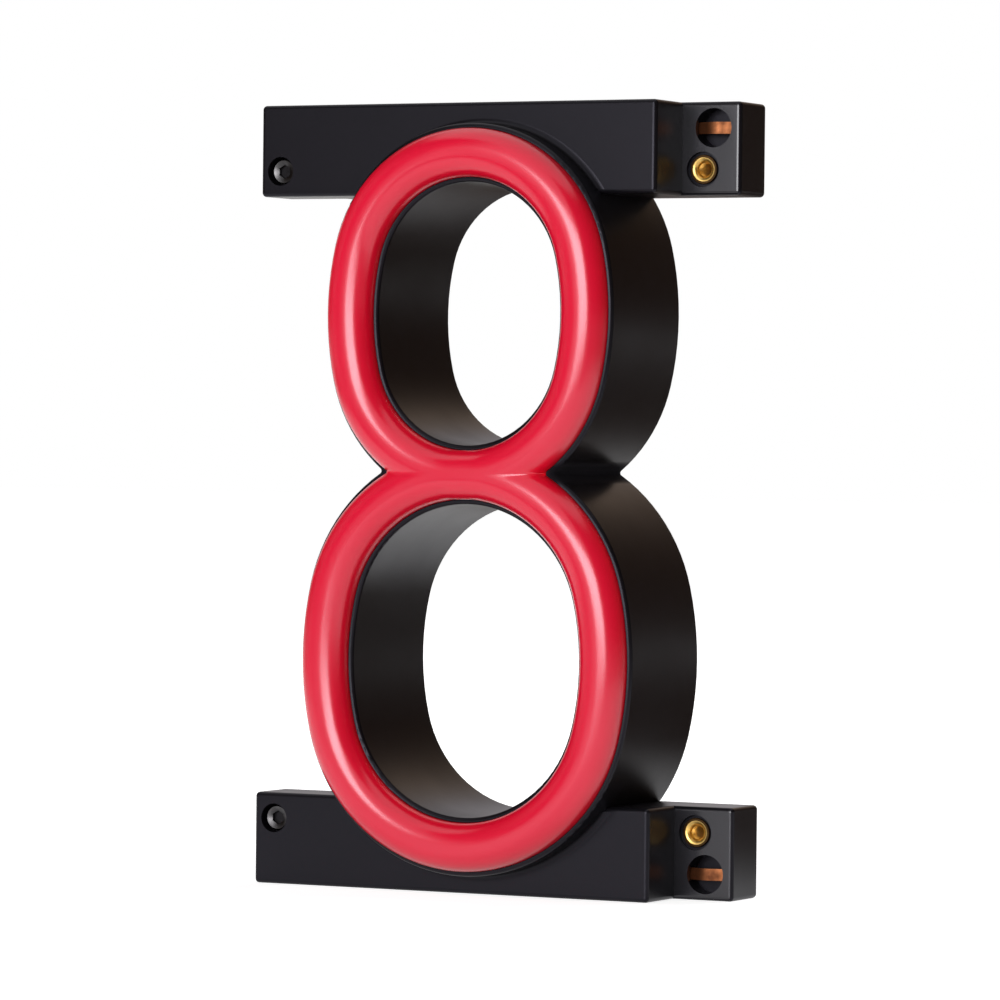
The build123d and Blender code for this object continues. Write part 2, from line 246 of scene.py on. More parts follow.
# Threaded inserts: a flanged brass bush in the right tongue of each rail, for a neighbour's screw.
# Each is turned from bar, knurled outside and tapped inside, and pressed warm into its hole. The
# flange and body are painted dark brown as shade, and the mouth and thread stay bright brass.
ends = ("top", "bottom")
insert_flange_radius = 3.0 * mm
insert_flange_thickness = 0.6 * mm
insert_body_radius = 2.28 * mm
insert_body_steps = 60
insert_knurl_depth = 0.14 * mm
insert_knurls = 20
insert_bore_radius = 1.5 * mm
insert_bore_steps = 130
insert_mouth_round = 0.9 * mm
insert_mouth_steps = 14
insert_unshaded_rim = 0.05 * mm
insert_edge_round = 0.12 * mm
insert_crease = 32.0
thread_pitch = 0.5 * mm
thread_depth = 0.24 * mm
thread_tip_cut = 0.125
turned_steps = 72
ring_scale = 9000.0
ring_stretch = (0.02, 1.0, 0.02)
ring_strength = 0.25
tarnish_scale = 700.0
brass_bright = (0.86, 0.56, 0.17, 1.0)
# A dark brown that paints shade onto the bush's flange and body.
brass_shade_brown = (0.045, 0.024, 0.010, 1.0)
brass_dulling = (1.0, 0.6)
brass_roughness = (0.29, 0.40)
brass_ring_depth = 0.01 * mm


def run(start, end, steps=2):
    """Evenly spaced stations, each a radius and a depth, between two corners of an outline."""
    return np.linspace(start, end, steps)


def thread_ridge(depth, turn):
    """Height of a thread from 0 in its groove to 1 on its crest.

    It is a triangle wave with cut-off tips along the depth, and it climbs one pitch in each turn.
    """
    wave = 1 - np.abs(2 * ((depth / thread_pitch - turn / (2 * np.pi)) % 1) - 1)
    return np.clip((1 + 2 * thread_tip_cut) * wave - thread_tip_cut, 0, 1)


def turned_points(axis, radius, depth):
    """Points of a surface turned about a line along Y.

    The first index is the turn and the second the station along the outline. Each point lies at
    its radius from the line, at its depth.
    """
    turn = np.linspace(0, 2 * np.pi, len(radius), endpoint=False)[:, None]
    return np.stack(np.broadcast_arrays(
        axis[0] + radius * np.cos(turn), depth, axis[1] + radius * np.sin(turn)), -1)


def grid_faces(rows, columns, closed, first=0):
    """Quads of a grid of points numbered along its rows, closed after its last row or open."""
    row = np.arange(rows if closed else rows - 1)[:, None]
    column = np.arange(columns - 1)[None, :]
    after = (row + 1) % rows
    corners = [row * columns + column, after * columns + column,
               after * columns + column + 1, row * columns + column + 1]
    return first + np.stack(np.broadcast_arrays(*corners), -1).reshape(-1, 4)


def mark_points(mesh, name, values):
    """Gives each point of a mesh its own number, for a material to read."""
    marks = mesh.attributes.new(name, "FLOAT", "POINT")
    marks.data.foreach_set("value", np.ravel(values).astype("f"))


def mesh_piece(name, points, faces, material, body, sharp=None, shine=None):
    """A piece from its points and faces, with coinciding points joined and its faces turned out.

    Edges sharper than an angle stay crisp. A number from 0 to 1 for each point can go with it, for
    the material to read as "shine".
    """
    mesh = bpy.data.meshes.new(name)
    mesh.from_pydata(points.reshape(-1, 3), [], faces.tolist())
    if shine is not None:
        mark_points(mesh, "shine", shine)
    shell = bmesh.new()
    shell.from_mesh(mesh)
    bmesh.ops.remove_doubles(shell, verts=shell.verts, dist=joined_within)
    bmesh.ops.recalc_face_normals(shell, faces=shell.faces)
    shell.to_mesh(mesh)
    shell.free()
    mesh.shade_smooth()
    if sharp:
        mesh.set_sharp_from_angle(angle=math.radians(sharp))
    mesh.materials.append(material)
    piece = bpy.data.objects.new(name, mesh)
    bpy.context.scene.collection.objects.link(piece)
    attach(piece, body)
    return piece


def stretched(tree, place, factors):
    """A place times a factor on each axis. A small factor draws a noise out along its axis."""
    scaled = put(tree, "ShaderNodeVectorMath", {0: place, 1: factors}, operation="MULTIPLY")
    return scaled.outputs[0]


def tool_marks():
    """Fine rings left by a cutting tool, and soft patches of tarnish.

    The rings are a noise stretched fifty times across the part's line, which runs along Y. The
    tarnish is a coarse noise stretched to run from 0 to 1.
    """
    tree, given, made = new_effect(
        "tool_marks", {"Ring Scale": ring_scale, "Patch Scale": tarnish_scale},
        ("Rings", "Tarnish"))
    place = put(tree, "ShaderNodeTexCoord").outputs["Object"]
    across = stretched(tree, place, ring_stretch)
    rings = noise(tree, across, given["Ring Scale"], 2.0)
    patch = noise(tree, place, given["Patch Scale"], 3.0)
    tree.links.new(rings, made["Rings"])
    tree.links.new(spread(tree, patch, 0.0, 1.0, *patch_contrast), made["Tarnish"])
    return tree


marks_effect = tool_marks()


def turned_metal(name, cover_and_shade, bare, dulling, roughness, ring_depth):
    """Turned metal, bright where the shine is 1 and dark where it is 0, dulled by the tarnish. On
    the screws the dark is their blacking and the bright is bare worn steel; on the bush the dark
    brown is painted shade and the bright is its brass.
    """
    material, tree, shader = new_finish(name)
    marks = put_group(tree, marks_effect, {}).outputs
    shine = put(tree, "ShaderNodeAttribute", attribute_name="shine").outputs["Fac"]
    # On the bush, the bright share is the mouth and bore, and the rest is painted shade.
    worn = calculate(tree, "MULTIPLY", shine, spread(tree, marks["Tarnish"], *dulling))
    tree.links.new(blend(tree, worn, cover_and_shade, bare), shader.inputs["Base Color"])
    tree.links.new(spread(tree, marks["Tarnish"], *roughness), shader.inputs["Roughness"])
    roughen(tree, shader, marks["Rings"], ring_depth, ring_strength)
    shader.inputs["Metallic"].default_value = 1.0
    return material


insert_brass = turned_metal(
    "insert_brass", brass_shade_brown, brass_bright, brass_dulling, brass_roughness, brass_ring_depth)


def threaded_insert(end):
    """The bush's outline, from its mouth over the flange, along the body and back up the bore.

    Its body's radius dips by the knurl, a wave in the turn crossed with one that winds the other
    way. Its bore's radius is less by the thread's depth on each crest, and the bore opens into the
    mouth over a quarter circle.
    """
    low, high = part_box(f"{end}_threaded_insert")
    axis = ((low.x + high.x) / 2, (low.z + high.z) / 2)
    face, back, far = low.y, low.y + insert_flange_thickness, high.y
    mouth = insert_bore_radius + insert_mouth_round
    round_end = face + insert_mouth_round
    flange = np.array([
        (mouth, face), (mouth + insert_unshaded_rim, face),
        (insert_flange_radius - insert_edge_round, face),
        (insert_flange_radius, face + insert_edge_round), (insert_flange_radius, back)])
    body = run((insert_body_radius, back), (insert_body_radius, far), insert_body_steps)
    bore = run((insert_bore_radius, far), (insert_bore_radius, round_end), insert_bore_steps)
    rise = np.linspace(0, np.pi / 2, insert_mouth_steps)
    lip = np.stack([mouth - insert_mouth_round * np.cos(rise),
                    round_end - insert_mouth_round * np.sin(rise)], -1)
    outline = np.concatenate([flange, body, bore, lip])
    radius, depth = outline.T[:, None]
    turn = np.linspace(0, 2 * np.pi, turned_steps, endpoint=False)[:, None]
    twist = insert_knurls * (depth - back) / (far - back)
    knurl = np.maximum(np.cos(insert_knurls * turn + twist), np.cos(insert_knurls * turn - twist))
    station = np.arange(len(outline))
    body_end = len(flange) + len(body)
    on_body = (station >= len(flange)) & (station < body_end)
    on_bore = (station >= body_end) & (station < body_end + len(bore))
    ramp = np.clip((depth - round_end) / thread_pitch, 0, 1)
    radius = radius - on_body * insert_knurl_depth * (1 - knurl) / 2
    radius = radius - on_bore * thread_depth * ramp * thread_ridge(depth, turn)
    # Painted shade: the flange and body take the dark brown, while the mouth's rim, the bore and
    # its round stay bright.
    unshaded = (station == 0) | (station >= body_end)
    shine = np.broadcast_to(np.where(unshaded, 1.0, 0.0), radius.shape)
    points = turned_points(axis, radius, depth)
    piece = mesh_piece(f"{end}_threaded_bush", points, grid_faces(*points.shape[:2], True),
                       insert_brass, "module", insert_crease, shine)
    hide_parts(f"{end}_threaded_insert")


for end in ends:
    threaded_insert(end)

# Power contacts: in each rail a flat bar, a riveted stud behind the left tab and a bowed leaf
# across a round window in the right tongue. All are rolled copper alloy, browned by the air, and
# the leaf is sprung and riveted to the bar.
copper_clean = (0.23, 0.083, 0.034, 1.0)
copper_brown = (0.095, 0.033, 0.015, 1.0)
bar_roughness = (0.30, 0.50)
stud_roughness = (0.29, 0.40)
leaf_roughness = (0.38, 0.55)
streak_scale = 5000.0
streak_stretch = (0.025, 1.0, 1.0)
streak_depth = 0.008 * mm
streak_strength = 0.3
rolled_tarnish_scale = 500.0


def rolled_streaks():
    """Streaks drawn out along the metal by the rolls, and patches of tarnish.

    The streaks are a noise stretched forty times along X. The tarnish is a coarse noise stretched
    to run from 0 to 1.
    """
    tree, given, made = new_effect(
        "rolled_streaks", {"Streak Scale": streak_scale, "Patch Scale": rolled_tarnish_scale},
        ("Streaks", "Tarnish"))
    place = put(tree, "ShaderNodeTexCoord").outputs["Object"]
    along = stretched(tree, place, streak_stretch)
    streaks = noise(tree, along, given["Streak Scale"], 2.0)
    patch = noise(tree, place, given["Patch Scale"], 4.0)
    tree.links.new(streaks, made["Streaks"])
    tree.links.new(spread(tree, patch, 0.0, 1.0, *patch_contrast), made["Tarnish"])
    return tree


streaks_effect = rolled_streaks()


def rolled_metal(name, clean, dull, roughness):
    """Rolled metal that runs from clean and smooth to dull and rough with its tarnish."""
    material, tree, shader = new_finish(name)
    streaks = put_group(tree, streaks_effect, {}).outputs
    tree.links.new(blend(tree, streaks["Tarnish"], clean, dull), shader.inputs["Base Color"])
    tree.links.new(spread(tree, streaks["Tarnish"], *roughness), shader.inputs["Roughness"])
    roughen(tree, shader, streaks["Streaks"], streak_depth, streak_strength)
    shader.inputs["Metallic"].default_value = 1.0
    return material


def dress(nodes, material):
    """Gives drawn solids their finish."""
    for node in nodes:
        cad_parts[node].material_slots[0].material = material


dress([f"{end}_contact_bar" for end in ends],
      rolled_metal("bar_copper", copper_clean, copper_brown, bar_roughness))
dress([f"{end}_contact_stud" for end in ends],
      rolled_metal("stud_copper", copper_clean, copper_brown, stud_roughness))
dress([f"{end}_contact_leaf" for end in ends],
      rolled_metal("leaf_copper", copper_clean, copper_brown, leaf_roughness))

# Joining screws: one in the counterbored hole of each left tab, with a hexagon socket in a dished,
# knurled head, a plain shoulder that turns in the tab and a short thread for the neighbour's bush.
# They are turned steel, blacked in oil. A plain ring pushed on the neck keeps each in its tab.
screw_head_radius = 2.7 * mm
screw_head_height = 2.5 * mm
screw_head_edge = 0.35 * mm
screw_head_steps = 8
screw_knurl_depth = 0.12 * mm
screw_knurls = 24
screw_dish_radius = 2.3 * mm
screw_dish_slope = 0.42
screw_socket_half = 1.25 * mm
screw_socket_depth = 1.3 * mm
screw_shoulder_radius = 2.0 * mm
screw_neck_radius = 1.15 * mm
screw_neck_length = 1.0 * mm
screw_thread_radius = 1.5 * mm
screw_thread_length = 5.0 * mm
screw_thread_steps = 100
screw_point_chamfer = 0.4 * mm
screw_rim_wear = (0.6, 0.8, 0.15)
screw_crease = 30.0
steel_black = (0.020, 0.019, 0.021, 1.0)
steel_bare = (0.115, 0.112, 0.115, 1.0)
steel_dulling = (1.0, 0.4)
steel_roughness = (0.29, 0.38)
steel_ring_depth = 0.008 * mm
washer_clean = (0.42, 0.42, 0.43, 1.0)
washer_dull = (0.24, 0.235, 0.23, 1.0)
washer_roughness = (0.29, 0.42)
screw_black = turned_metal(
    "joining_screw_black", steel_black, steel_bare, steel_dulling, steel_roughness,
    steel_ring_depth)


def joining_screw(end):
    """The screw's outline, from the middle of its socket out over the head and along to its point.

    The socket's radius is the half width over the cosine of the angle from the nearest flat. The
    dish falls to it with a fixed slope, the head's side dips by its knurl, and the thread's radius
    is less by the thread's depth in each groove.
    """
    low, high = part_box(f"{end}_joining_screw")
    axis = ((low.x + high.x) / 2, (low.z + high.z) / 2)
    top, under, point = low.y, low.y + screw_head_height, high.y
    thread_start = point - screw_thread_length
    neck = thread_start - screw_neck_length
    turn = np.linspace(0, 2 * np.pi, turned_steps, endpoint=False)[:, None]
    socket = screw_socket_half / np.cos((turn + np.pi / 6) % (np.pi / 3) - np.pi / 6)
    dish = top + (screw_dish_radius - socket) * screw_dish_slope
    floor = top + screw_socket_depth
    rim = run((screw_dish_radius, top), (screw_head_radius - screw_head_edge, top))
    side = run((screw_head_radius, top + screw_head_edge),
               (screw_head_radius, under - screw_head_edge), screw_head_steps)
    shank = np.concatenate([
        run((screw_head_radius - screw_head_edge / 2, under), (screw_shoulder_radius, under)),
        run((screw_shoulder_radius, neck), (screw_neck_radius, neck)),
        run((screw_neck_radius, thread_start), (screw_thread_radius - thread_depth, thread_start))])
    thread = run((screw_thread_radius, thread_start),
                 (screw_thread_radius, point - screw_point_chamfer), screw_thread_steps)
    tip = run((screw_thread_radius - screw_point_chamfer, point), (0, point))
    outline = np.concatenate([rim, side, shank, thread, tip])
    radius, depth = np.broadcast_arrays(*outline.T[:, None], turn)[:2]
    station = np.arange(len(outline))
    side_end = len(rim) + len(side)
    thread_first = side_end + len(shank)
    on_side = (station >= len(rim)) & (station < side_end)
    on_thread = (station >= thread_first) & (station < thread_first + len(thread))
    ramp = np.clip((depth - thread_start) / thread_pitch, 0, 1)
    radius = radius - on_side * screw_knurl_depth * (1 + np.cos(screw_knurls * turn)) / 2
    radius = radius - on_thread * thread_depth * (1 - ramp * thread_ridge(depth, turn))
    middle = np.zeros_like(turn)
    radius = np.concatenate([middle, socket, socket, radius], 1)
    depth = np.concatenate([middle + floor, middle + floor, dish, depth], 1)
    shine = np.zeros_like(radius)
    shine[:, 2:5] = screw_rim_wear
    points = turned_points(axis, radius, depth)
    piece = mesh_piece(f"{end}_socket_screw", points, grid_faces(*points.shape[:2], True),
                       screw_black, f"{end}_screw", screw_crease, shine)
    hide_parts(f"{end}_joining_screw")


for end in ends:
    joining_screw(end)
dress([f"{end}_retaining_washer" for end in ends],
      rolled_metal("washer_steel", washer_clean, washer_dull, washer_roughness))

# Lamp board: a figure-shaped circuit board under white mask, pressed up to the floor of the
# channel. Lamp chips stand in a row in front and resistors behind, and a pin from each bar is
# soldered into it.
mask_white = (0.74, 0.745, 0.72, 1.0)
mask_shaded = (0.60, 0.61, 0.575, 1.0)
mask_roughness = (0.32, 0.45)
mask_patches = 260.0
mask_grain = 4200.0
chip_pale = (0.80, 0.71, 0.36, 1.0)
chip_deep = (0.72, 0.60, 0.25, 1.0)
chip_roughness = (0.29, 0.38)
resistor_dark = (0.012, 0.012, 0.013, 1.0)
resistor_worn = (0.03, 0.03, 0.032, 1.0)
resistor_roughness = (0.3, 0.5)
resistor_gloss = 0.4
small_part_patches = 900.0
small_part_grain = 6000.0
coat_gloss = 0.5
coat_grain_depth = 0.006 * mm
pin_clean = (0.72, 0.52, 0.22, 1.0)
pin_dull = (0.44, 0.30, 0.12, 1.0)
pin_roughness = (0.29, 0.4)


def coated(name, light, dark, roughness, patch_scale, grain_scale, gloss):
    """A coated or moulded small part that runs between two tones in patches, with a fine grain."""
    material, tree, shader = new_finish(name)
    grain = put_group(tree, grain_effect, {
        "Grain Scale": grain_scale, "Patch Scale": patch_scale}).outputs
    tree.links.new(blend(tree, grain["Patch"], light, dark), shader.inputs["Base Color"])
    tree.links.new(spread(tree, grain["Patch"], *roughness), shader.inputs["Roughness"])
    roughen(tree, shader, grain["Grain"], coat_grain_depth, grain_strength)
    shader.inputs["Specular IOR Level"].default_value = gloss
    return material


dress(["lamp_board"], coated(
    "board_white", mask_white, mask_shaded, mask_roughness, mask_patches, mask_grain, coat_gloss))
dress(["lamp_chips"], coated(
    "chip_pale", chip_pale, chip_deep, chip_roughness,
    small_part_patches, small_part_grain, coat_gloss))
dress(["resistors"], coated(
    "resistor_black", resistor_dark, resistor_worn, resistor_roughness,
    small_part_patches, small_part_grain, resistor_gloss))
dress([f"{end}_feed_pin" for end in ends],
      rolled_metal("pin_brass", pin_clean, pin_dull, pin_roughness))

# Diffuser: a red translucent moulding with a round crown, pushed into the mouth of the channel.
# It is soft glossy plastic, deep red at its edges and pinker along the crown, partly as milkier
# thick plastic and partly as painted sheen from the front light.
# The two loops meet at the waist, where a small round eases each notch.
stroke = 10.0 * mm
crown_radius = 4.6 * mm
diffuser_wall = 1.6 * mm
upper_half_width = 26.75 * mm
waist_height = 85.8 * mm
side_flatness = 0.8 * mm
notch_round = 0.6 * mm
valley_round = 1.0 * mm
diffuser_low, diffuser_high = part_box("diffuser")
figure_top = diffuser_high.z - stroke / 2
figure_bottom = diffuser_low.z + stroke / 2
lower_half_width = diffuser_high.x - stroke / 2
diffuser_gloss = 0.79
diffuser_cool = (0.95, 0.92, 1.0, 1.0)
diffuser_roughness = (0.22, 0.26)
edge_red = (0.80, 0.0035, 0.018, 1.0)
crown_red = (0.79, 0.0045, 0.037, 1.0)
flow_scale = 700.0
flow_patches = 60.0
flow_depth = 0.01 * mm
flow_strength = 0.08


class Loop:
    """One oval of the figure: four tangent arcs, two round ends and two flatter sides."""

    def __init__(self, half_width, top, bottom, waist_side):
        self.half_width = half_width
        self.middle = (top + bottom) / 2
        self.waist_side = waist_side
        self.end_radius = half_width - side_flatness
        self.rise = (top - bottom) / 2 - self.end_radius
        self.side_radius = half_width + self.rise**2 / (2 * side_flatness) - side_flatness / 2
        self.side_turn = np.arctan2(self.rise, self.side_radius - half_width)
        self.waist_centre = self.middle + waist_side * self.rise

    def point(self, turn, grow):
        """X and Z of the point whose outward normal has an angle, moved out along that normal.

        It is the centre of the arc that holds that normal, plus the arc's radius and the growth
        along the normal.
        """
        on_side = np.abs(np.sin(turn)) < np.sin(self.side_turn)
        side_x = np.sign(np.cos(turn)) * (self.half_width - self.side_radius)
        centre_x = np.where(on_side, side_x, 0)
        centre_z = np.where(on_side, 0, np.sign(np.sin(turn)) * self.rise)
        radius = np.where(on_side, self.side_radius, self.end_radius) + grow
        return centre_x + radius * np.cos(turn), self.middle + centre_z + radius * np.sin(turn)


upper_loop = Loop(upper_half_width, figure_top, waist_height, -1)
lower_loop = Loop(lower_half_width, waist_height, figure_bottom, 1)


def notch():
    """X and Z of the centre of the round in the right-hand notch, which touches both loops.

    Its distance to each loop's waist-side centre is that loop's outer radius plus its own.
    """
    upper_reach = upper_loop.end_radius + stroke / 2 + notch_round
    lower_reach = lower_loop.end_radius + stroke / 2 + notch_round
    upper_z, lower_z = upper_loop.waist_centre, lower_loop.waist_centre
    z = (upper_z**2 - lower_z**2 - upper_reach**2 + lower_reach**2) / (2 * (upper_z - lower_z))
    return np.sqrt(upper_reach**2 - (z - upper_z) ** 2), z


def crown_of(loop, other, around=420, along_waist=100, across=30):
    """Grid of points over a loop's stroke, as rows along its normals, and the count off the waist.

    A row runs from the counter's edge to the outer edge. In the notch it ends on the round there,
    and between the notches on the level line where the two loops meet. Each loop's line has the
    height of a quarter circle of the crown's radius, taken at the distance in from its own edge and
    flat beyond that radius. Where the loops run together the greater distance counts, eased over
    the valley between them.
    """
    notch_x, notch_z = notch()
    seam_x = notch_x - notch_round
    rise = abs(notch_z - loop.waist_centre)
    seam_turn = np.arctan2(rise, seam_x)
    touch_turn = np.arctan2(rise, notch_x)
    round_turn = loop.waist_side * np.linspace(seam_turn, -np.pi - seam_turn, around)
    waist_x = np.linspace(-seam_x, seam_x, along_waist + 2)[1:-1]
    waist_turn = loop.waist_side * np.arctan2(rise, waist_x)
    turn = np.concatenate([round_turn, waist_turn])
    up = loop.waist_side * np.sin(turn)
    to_seam = rise / np.maximum(up, 1e-9) - loop.end_radius
    ahead = np.abs(np.cos(turn)) * notch_x + up * rise
    gap = np.maximum(ahead**2 - notch_x**2 - rise**2 + notch_round**2, 0)
    to_round = ahead - np.sqrt(gap) - loop.end_radius
    in_waist = np.arange(len(turn)) >= around
    in_notch = ~in_waist & (up > np.sin(touch_turn))
    reach = np.where(in_waist, to_seam, np.where(in_notch, to_round, stroke / 2))
    share = (1 - np.cos(np.linspace(0, np.pi, across))) / 2
    grow = -stroke / 2 + share * (reach[:, None] + stroke / 2)
    x, z = loop.point(turn[:, None], grow)
    own = stroke / 2 - np.abs(grow)
    its = stroke / 2 - np.abs(np.hypot(x, z - other.waist_centre) - other.end_radius)
    easing = np.maximum(valley_round - np.abs(own - its), 0) ** 2 / (4 * valley_round)
    edge = (np.maximum(own, its) + np.where(its > 0, easing, 0)).clip(0)
    fall = crown_radius - np.minimum(edge, crown_radius)
    y = diffuser_low.y + crown_radius - np.sqrt(np.maximum(crown_radius**2 - fall**2, 0))
    return np.stack([x, y, z], -1), around


def diffuser_red():
    """Glossy red plastic, deep at its edges and pinker at the crown, partly milky and partly
    painted sheen, with faint flow marks.
    """
    material, tree, shader = new_finish("diffuser_red")
    grain = put_group(tree, grain_effect, {
        "Grain Scale": flow_scale, "Patch Scale": flow_patches}).outputs
    place = put(tree, "ShaderNodeTexCoord").outputs["Object"]
    depth = put(tree, "ShaderNodeSeparateXYZ", {0: place}).outputs["Y"]
    # The crown's pinker red is partly painted sheen.
    crown = spread(tree, depth, 0.0, 1.0, diffuser_low.y + crown_radius, diffuser_low.y)
    tree.links.new(blend(tree, crown, edge_red, crown_red), shader.inputs["Base Color"])
    tree.links.new(spread(tree, grain["Patch"], *diffuser_roughness), shader.inputs["Roughness"])
    roughen(tree, shader, grain["Grain"], flow_depth, flow_strength)
    shader.inputs["Specular IOR Level"].default_value = diffuser_gloss
    shader.inputs["Specular Tint"].default_value = diffuser_cool
    return material


def diffuser_shell():
    """The crown of both loops, with upright skirts down to the seat, given its wall inwards."""
    points, faces = [], []
    count = 0
    for loop, other in ((upper_loop, lower_loop), (lower_loop, upper_loop)):
        crown, around = crown_of(loop, other)
        seated = crown.copy()
        seated[..., 1] = diffuser_high.y
        sheets = [(np.concatenate([seated[:, :1], crown], 1), True),
                  (np.stack([crown[:around, -1], seated[:around, -1]], 1), False)]
        for sheet, closed in sheets:
            made = grid_faces(*sheet.shape[:2], closed, count)
            faces.append(made if loop.waist_side > 0 else made[:, ::-1])
            points.append(sheet.reshape(-1, 3))
            count += points[-1].shape[0]
    piece = mesh_piece("diffuser_shell", np.concatenate(points), np.concatenate(faces),
                       diffuser_red(), "module")
    wall = piece.modifiers.new("wall", "SOLIDIFY")
    wall.thickness = diffuser_wall
    wall.offset = -1
    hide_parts("diffuser")


diffuser_shell()

# Back cover: a black plate let in flush behind the figure, with posts that press the lamp board
# forward. It is moulded with a coarser grain than the housing and held by four countersunk screws,
# slotted and blacked.
cover_dark = (0.010, 0.0097, 0.0108, 1.0)
cover_worn = (0.017, 0.0165, 0.018, 1.0)
cover_roughness = 0.46
cover_gloss = 0.5
cover_grain = 1300.0
cover_screw_worn = (0.045, 0.044, 0.047, 1.0)
cover_screw_black = (0.02, 0.02, 0.022, 1.0)
cover_screw_roughness = (0.29, 0.4)
cover_black = moulded_black(
    "cover_black", cover_dark, cover_worn, cover_roughness, cover_gloss, cover_grain)[0]
dress(["back_cover"], cover_black)
dress(["cover_screws"], rolled_metal(
    "cover_screw_black", cover_screw_worn, cover_screw_black, cover_screw_roughness))

# Studio: a white floor and backdrop, both seen as plain white. A wide soft light stands in front,
# and two more, at the left and behind, light the object without a gloss. Cards that only gloss
# shows stand round it and lie on the floor: dark ones, and two paler ones upright behind it.
front_light_size = (1.28, 0.66)
front_light_place = (0.11, -1.7, 0.34)
front_light_watts = 21.0
left_light_size = (0.9, 0.9)
left_light_place = (-1.5, -0.6, 0.5)
left_light_watts = 5.0
back_light_size = (0.9, 0.9)
back_light_place = (0.3, 1.3, 1.1)
back_light_watts = 19.0
aim_place = (0.0, 0.0, 0.08)
fill_strength = 0.12
white = (1.0, 1.0, 1.0, 1.0)
black = (0.0, 0.0, 0.0, 1.0)
floor_paint = (0.8, 0.8, 0.8, 1.0)
floor_glow = (0.78, 0.92)
floor_glow_reach = (0.6, 2.4)
floor_reflected_glow = 0.66
floor_half = 6.0
card_turn_steps = 61
card_reach_steps = 21
card_height = 2.0
screen_run = (25.0, 337.0)
screen_radius = 1.5
screen_fades = (0.004, 0.001)
screen_brown = (0.062, 0.027, 0.009, 1.0)
back_card_run = (164.0, 240.0)
back_card_radius = 1.45
back_card_brown = (0.70, 0.51, 0.37, 1.0)
pale_card_run = (184.0, 250.0)
pale_card_radius = 1.4
pale_card_grey = (0.72, 0.68, 0.70, 1.0)
upright_card_fades = (0.25, 0.001)
front_floor_run = (-115.0, 145.0)
front_floor_reach = (0.40, 1.5)
front_floor_fades = (0.1, 0.15)
side_floor_run = (120.0, 171.0)
side_floor_reach = (0.06, 1.5)
side_floor_fades = (0.14, 0.04)
back_floor_run = (162.0, 215.0)
back_floor_reach = (0.16, 1.5)
back_floor_fades = (0.2, 0.13)
floor_card_lift = 0.5 * mm


def seen_directly(tree):
    """1 for rays that show the background itself: from the camera, a gloss or a clear body."""
    path = put(tree, "ShaderNodeLightPath").outputs
    shown = calculate(tree, "MAXIMUM", path["Is Camera Ray"], path["Is Glossy Ray"])
    return calculate(tree, "MAXIMUM", shown, path["Is Transmission Ray"])


def stage_sheet(name, points, material):
    """A sheet from a grid of points, which isn't part of the object."""
    mesh = bpy.data.meshes.new(name)
    faces = grid_faces(*points.shape[:2], False)
    mesh.from_pydata(points.reshape(-1, 3), [], faces.tolist())
    mesh.materials.append(material)
    sheet = bpy.data.objects.new(name, mesh)
    bpy.context.scene.collection.objects.link(sheet)
    return sheet


def plain_stage(name, colour, glow):
    """A matt stage finish with no gloss, and its own glow."""
    material, tree, shader = new_finish(name)
    shader.inputs["Base Color"].default_value = colour
    shader.inputs["Roughness"].default_value = 1.0
    shader.inputs["Specular IOR Level"].default_value = 0.0
    shader.inputs["Emission Color"].default_value = glow
    return material, tree, shader


def studio_floor():
    """A level white sheet that glows up to plain white, more far off than near the object."""
    material, tree, shader = plain_stage("floor_white", floor_paint, white)
    seen = put(tree, "ShaderNodeLightPath").outputs["Is Camera Ray"]
    place = put(tree, "ShaderNodeTexCoord").outputs["Object"]
    away = put(tree, "ShaderNodeVectorMath", {0: place}, operation="LENGTH").outputs["Value"]
    evened = spread(tree, away, *floor_glow, *floor_glow_reach)
    shown = spread(tree, seen, floor_reflected_glow, evened)
    glow = calculate(tree, "MULTIPLY", shown, seen_directly(tree))
    tree.links.new(glow, shader.inputs["Emission Strength"])
    x, y = np.meshgrid([-floor_half, floor_half], [-floor_half, floor_half])
    stage_sheet("floor", np.stack([x, y, 0 * x], -1), material)


studio_floor()


def glow_card(name, glow):
    """The finish of a card with a fixed dim colour, which fades out where its cover is 0."""
    material, tree, shader = plain_stage(name, black, glow)
    shader.inputs["Emission Strength"].default_value = 1.0
    cover = put(tree, "ShaderNodeAttribute", attribute_name="cover").outputs["Fac"]
    tree.links.new(cover, shader.inputs["Alpha"])
    return material


def reflected_card(name, span, reach, heights, material, fades):
    """A card bent round the object that shows only in reflections.

    Its points lie at an angle round the upright line through the origin, measured from the front
    towards the right. Its radius and height go evenly from its first edge to its second. Its cover
    rises from 0 at each edge to 1 over a share of its run and of its width.
    """
    turn_share, share = np.meshgrid(
        np.linspace(0, 1, card_turn_steps), np.linspace(0, 1, card_reach_steps))
    turn = np.radians(span[0] + turn_share * (span[1] - span[0]))
    radius = reach[0] + share * (reach[1] - reach[0])
    height = heights[0] + share * (heights[1] - heights[0])
    points = np.stack([radius * np.sin(turn), -radius * np.cos(turn), height], -1)
    card = stage_sheet(name, points, material)
    from_end = np.minimum(turn_share, 1 - turn_share) / fades[0]
    from_side = np.minimum(share, 1 - share) / fades[1]
    mark_points(card.data, "cover", np.minimum(from_end, 1) * np.minimum(from_side, 1))
    for kind in ("camera", "diffuse", "shadow", "transmission"):
        setattr(card, f"visible_{kind}", False)


dark_card = glow_card("screen_dark", screen_brown)
upright = (0.0, card_height)
level = (floor_card_lift, floor_card_lift)
reflected_card("dark_screen", screen_run, (screen_radius, screen_radius), upright,
               dark_card, screen_fades)
reflected_card("back_card", back_card_run, (back_card_radius, back_card_radius), upright,
               glow_card("back_card_brown", back_card_brown), upright_card_fades)
reflected_card("pale_card", pale_card_run, (pale_card_radius, pale_card_radius), upright,
               glow_card("pale_card_grey", pale_card_grey), upright_card_fades)
reflected_card("front_floor_card", front_floor_run, front_floor_reach, level,
               dark_card, front_floor_fades)
reflected_card("side_floor_card", side_floor_run, side_floor_reach, level,
               dark_card, side_floor_fades)
reflected_card("back_floor_card", back_floor_run, back_floor_reach, level,
               dark_card, back_floor_fades)


